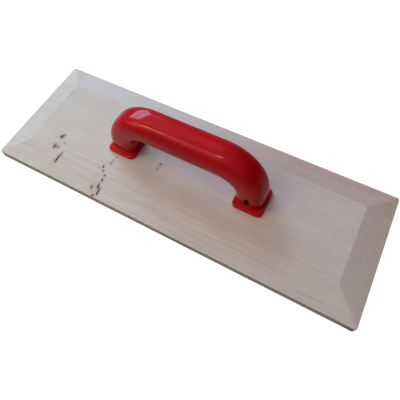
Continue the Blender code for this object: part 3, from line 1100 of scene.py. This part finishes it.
def area_light(name, place, aim, along, size, glow):
    """A soft panel facing aim, its long side following along. Glow is what it sends out per colour."""
    lamp = bpy.data.lights.new(name, "AREA")
    lamp.shape = "RECTANGLE"
    lamp.size, lamp.size_y = size
    brightest = max(glow)
    lamp.energy = math.pi * size[0] * size[1] * brightest
    lamp.color = [channel / brightest for channel in glow]
    thing = bpy.data.objects.new(name, lamp)
    bpy.context.scene.collection.objects.link(thing)
    back = (Vector(place) - Vector(aim)).normalized()
    up = back.cross(Vector(along)).normalized()
    side = up.cross(back)
    thing.matrix_world = Matrix.Translation(place) @ Matrix((side, up, back)).transposed().to_4x4()
    thing.visible_camera = False
    return thing


def build_floor():
    bm = bmesh.new()
    bmesh.ops.create_grid(bm, x_segments=2, y_segments=2, size=FLOOR_SIZE)
    floor = add_object("floor", mesh_from(bm, "floor"))
    floor.location.z = -FLOOR_DROP
    material = bpy.data.materials.new("floor")
    material.use_nodes = True
    tree = material.node_tree
    tree.nodes.clear()
    output = tree.nodes.new("ShaderNodeOutputMaterial")
    matt = tree.nodes.new("ShaderNodeBsdfDiffuse")
    matt.inputs["Color"].default_value = FLOOR_GREY
    pale = tree.nodes.new("ShaderNodeEmission")
    pale.inputs["Color"].default_value = color(1.0, 1.0, 1.0)
    pale.inputs["Strength"].default_value = PAPER_WHITE
    choose = tree.nodes.new("ShaderNodeMixShader")
    path = tree.nodes.new("ShaderNodeLightPath")
    tree.links.new(path.outputs["Is Camera Ray"], choose.inputs[0])
    tree.links.new(matt.outputs[0], choose.inputs[1])
    tree.links.new(pale.outputs[0], choose.inputs[2])
    tree.links.new(choose.outputs[0], output.inputs[0])
    floor.data.materials.append(material)


def build_world():
    """White where the camera looks past the floor, and otherwise a dim room with brighter sides.

    Its light from below reaches the underside only when the floor is hidden.
    """
    world = bpy.data.worlds.new("studio")
    bpy.context.scene.world = world
    world.use_nodes = True
    tree = world.node_tree
    tree.nodes.clear()
    output = tree.nodes.new("ShaderNodeOutputWorld")
    seen = tree.nodes.new("ShaderNodeBackground")
    seen.inputs["Color"].default_value = color(1.0, 1.0, 1.0)
    seen.inputs["Strength"].default_value = PAPER_WHITE
    heading = tree.nodes.new("ShaderNodeTexCoord").outputs["Generated"]
    room = None
    for azimuth, elevation, focus, glow in ROOM_GLOW:
        facing = tree.nodes.new("ShaderNodeVectorMath")
        facing.operation = "DOT_PRODUCT"
        facing.inputs[1].default_value = around(azimuth, elevation, 1.0)
        front = tree.nodes.new("ShaderNodeMath")
        front.operation = "MAXIMUM"
        front.inputs[1].default_value = 0.0
        lobe = tree.nodes.new("ShaderNodeMath")
        lobe.operation = "POWER"
        lobe.inputs[1].default_value = focus
        patch = tree.nodes.new("ShaderNodeBackground")
        patch.inputs["Color"].default_value = color(*glow)
        tree.links.new(heading, facing.inputs[0])
        tree.links.new(facing.outputs["Value"], front.inputs[0])
        tree.links.new(front.outputs[0], lobe.inputs[0])
        tree.links.new(lobe.outputs[0], patch.inputs["Strength"])
        if room:
            both = tree.nodes.new("ShaderNodeAddShader")
            tree.links.new(room, both.inputs[0])
            tree.links.new(patch.outputs[0], both.inputs[1])
            room = both.outputs[0]
        else:
            room = patch.outputs[0]
    choose = tree.nodes.new("ShaderNodeMixShader")
    path = tree.nodes.new("ShaderNodeLightPath")
    tree.links.new(path.outputs["Is Camera Ray"], choose.inputs[0])
    tree.links.new(room, choose.inputs[1])
    tree.links.new(seen.outputs[0], choose.inputs[2])
    tree.links.new(choose.outputs[0], output.inputs[0])


def around(azimuth, elevation, distance):
    """The place at an azimuth and an elevation in degrees, seen from the origin."""
    rise = math.radians(elevation)
    place = Vector((distance * math.cos(rise), 0.0, distance * math.sin(rise)))
    place.rotate(Euler((0.0, 0.0, math.radians(azimuth))))
    return place


def build_lights():
    build_world()
    for low, high, glow in WINDOW_PANES:
        middle = around(WINDOW_AZIMUTH, 0.0, WINDOW_DISTANCE) + Vector((0.0, 0.0, (low + high) / 2))
        across = middle.cross(Vector((0.0, 0.0, 1.0)))
        area_light("window", middle, (0.0, 0.0, middle.z), across, (WINDOW_WIDTH, high - low), glow)
    for azimuth, elevation, glow in PANELS:
        place = around(azimuth, elevation, PANEL_DISTANCE)
        across = place.cross(Vector((0.0, 0.0, 1.0)))
        area_light("panel", place, BOARD_AIM, across, (PANEL_SIZE, PANEL_SIZE), glow)
    lamp = LAMP_END - LAMP_START
    for start, end, share in LAMP_STRETCHES:
        size = (lamp.length * (end - start), LAMP_WIDTH)
        glow = [channel * share for channel in LAMP_GLOW]
        area_light("lamp", LAMP_START + lamp * (start + end) / 2, BOARD_AIM, lamp, size, glow)


def build_camera():
    lens = bpy.data.cameras.new("camera")
    lens.sensor_width = CAMERA_SENSOR
    lens.lens = CAMERA_LENS
    lens.shift_x = CAMERA_SHIFT[0]
    lens.shift_y = CAMERA_SHIFT[1]
    lens.clip_start = CAMERA_NEAR
    lens.dof.use_dof = False
    camera = bpy.data.objects.new("camera", lens)
    bpy.context.scene.collection.objects.link(camera)
    camera.location = CAMERA_PLACE
    camera.rotation_euler = Euler([math.radians(turn) for turn in CAMERA_TURN], "XYZ")
    bpy.context.scene.camera = camera


# ---------------------------------------------------------------- assembly


def place_piece(piece, material, node):
    piece.data.materials.clear()
    piece.data.materials.append(material)
    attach(piece, "root")
    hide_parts(node)


def main():
    bpy.context.scene.view_settings.view_transform = "Standard"
    steel = steel_material()
    place_piece(build_board(), timber_material(), "board")
    place_piece(build_handle(), plastic_material(), "handle")
    place_piece(build_screw("wood_screw_right", 0.0), steel, "screw_right")
    place_piece(build_screw("wood_screw_left", math.pi), steel, "screw_left")
    build_floor()
    build_lights()
    build_camera()


main()
bpy.context.view_layer.update()
